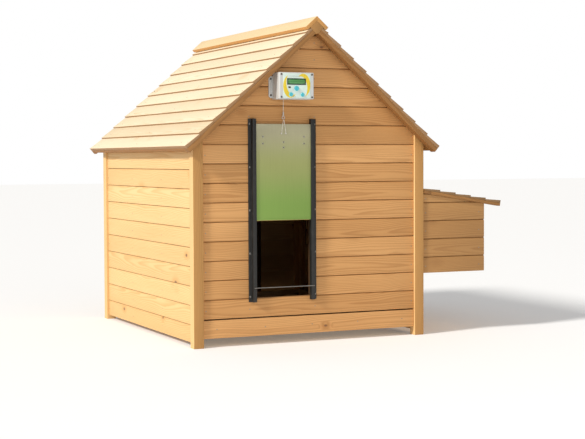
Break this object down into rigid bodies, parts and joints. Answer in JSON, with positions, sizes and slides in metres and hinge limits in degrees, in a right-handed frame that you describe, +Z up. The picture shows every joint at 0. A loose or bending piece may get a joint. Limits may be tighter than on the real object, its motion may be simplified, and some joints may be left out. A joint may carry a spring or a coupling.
{
  "type": "chicken coop",
  "caption": "Small wooden hen house with a lapped gable roof, a powered sliding pop door, a side nest box with a hinged lid, a rear service door and a pull-out tray.",
  "frame": {"origin": "centre of the whole footprint, on the ground under the posts", "axes": "+X towards the nest box, -Y is the front with the pop door, +Z up"},
  "size_m": [1.2214, 1.096, 1.0951],
  "materials": {
    "fir_boards": "sawn fir, clear stained",
    "fir_frame": "planed fir",
    "roof_fir": "sawn fir, pale",
    "perch_wood": "planed pine",
    "tray_ply": "plywood",
    "rail_black": "satin black",
    "screw_steel": "zinc plated",
    "door_metal": "satin, slightly green",
    "cord_white": "braided cord",
    "case_grey": "moulded, fine texture",
    "label_film": "printed film",
    "display_black": "gloss",
    "display_green": "display film",
    "button_teal": "moulded",
    "switch_black": "moulded",
    "board_green": "solder mask",
    "motor_metal": "plain",
    "drum_nylon": "moulded",
    "hinge_zinc": "zinc plated"
  },
  "bodies": {
    "coop": {"corner_posts": "fir_frame", "corner_cleats": "fir_frame", "door_studs": "fir_frame", "side_studs": "fir_frame", "top_plates": "fir_frame", "tray_runners": "fir_frame", "ridge_beam": "fir_frame", "roof_battens": "fir_frame", "nest_ledgers": "fir_frame", "nest_battens": "fir_frame", "front_boards": "fir_boards", "rear_boards": "fir_boards", "left_boards": "fir_boards", "right_boards": "fir_boards", "nest_floor": "fir_boards", "nest_end_boards": "fir_boards", "nest_outer_boards": "fir_boards", "nest_dividers": "fir_boards", "roof_boards_left": "roof_fir", "roof_boards_right": "roof_fir", "ridge_caps": "roof_fir", "perch_brackets": "perch_wood", "perches": "perch_wood", "door_rails": "rail_black", "rail_screws": "screw_steel", "case_screws": "screw_steel", "rail_tie_rod": "screw_steel", "case_base": "case_grey", "case_lid": "case_grey", "front_label": "label_film", "display_frame": "display_black", "light_sensor": "display_black", "display_window": "display_green", "button_switches": "switch_black", "battery_pack": "switch_black", "circuit_board": "board_green", "gearmotor": "motor_metal", "lid_hinge_wall": "hinge_zinc", "rear_hinges_wall": "hinge_zinc", "bolt_keeper": "hinge_zinc"},
    "pop_door": {"door_panel": "door_metal", "panel_cords": "cord_white", "cord_clip": "screw_steel", "lift_cord": "cord_white"},
    "winch": {"winch_drum": "drum_nylon", "winch_shaft": "motor_metal", "wound_cord": "cord_white"},
    "nest_lid": {"lid_battens": "fir_frame", "lid_boards": "roof_fir", "lid_hinge_lid": "hinge_zinc"},
    "tray": {"tray_front": "fir_boards", "tray_pan": "tray_ply"},
    "rear_door": {"rear_door_boards": "fir_boards", "rear_door_battens": "fir_frame", "rear_hinges_door": "hinge_zinc", "bolt_body": "hinge_zinc"},
    "rear_bolt": {"bolt_rod": "hinge_zinc"},
    "main_button": {"main_button": "button_teal"},
    "left_button": {"left_button": "button_teal"},
    "right_button": {"right_button": "button_teal"}
  },
  "joints": [
    {"name": "door_slide", "type": "slide", "parent": "coop", "child": "pop_door", "axis": [0, 0, -1], "range_m": [0, 0.266], "deforming": ["lift_cord"]},
    {"name": "winch_turn", "type": "hinge", "parent": "coop", "child": "winch", "pos_m": [-0.23967, -0.495, 0.8635], "axis": [0, -1, 0], "range_deg": [0, 1906]},
    {"name": "nest_lid_hinge", "type": "hinge", "parent": "coop", "child": "nest_lid", "pos_m": [0.28743, 0.008, 0.51824], "axis": [0, -1, 0], "range_deg": [0, 75]},
    {"name": "tray_slide", "type": "slide", "parent": "coop", "child": "tray", "axis": [0, -1, 0], "range_m": [0, 0.9]},
    {"name": "rear_door_hinge", "type": "hinge", "parent": "coop", "child": "rear_door", "pos_m": [-0.34867, 0.5041, 0.382], "axis": [0, 0, 1], "range_deg": [0, 110]},
    {"name": "rear_bolt_slide", "type": "slide", "parent": "rear_door", "child": "rear_bolt", "axis": [1, 0, 0], "range_m": [0, 0.026]},
    {"name": "main_button_press", "type": "slide", "parent": "coop", "child": "main_button", "axis": [0, 1, 0], "range_m": [0, 0.0012], "stiffness_N_per_m": 400},
    {"name": "left_button_press", "type": "slide", "parent": "coop", "child": "left_button", "axis": [0, 1, 0], "range_m": [0, 0.0012], "stiffness_N_per_m": 400},
    {"name": "right_button_press", "type": "slide", "parent": "coop", "child": "right_button", "axis": [0, 1, 0], "range_m": [0, 0.0012], "stiffness_N_per_m": 400}
  ],
  "couplings": [
    {"joint": "winch_turn", "follows": "door_slide", "rad_per_m": 125}
  ]
}
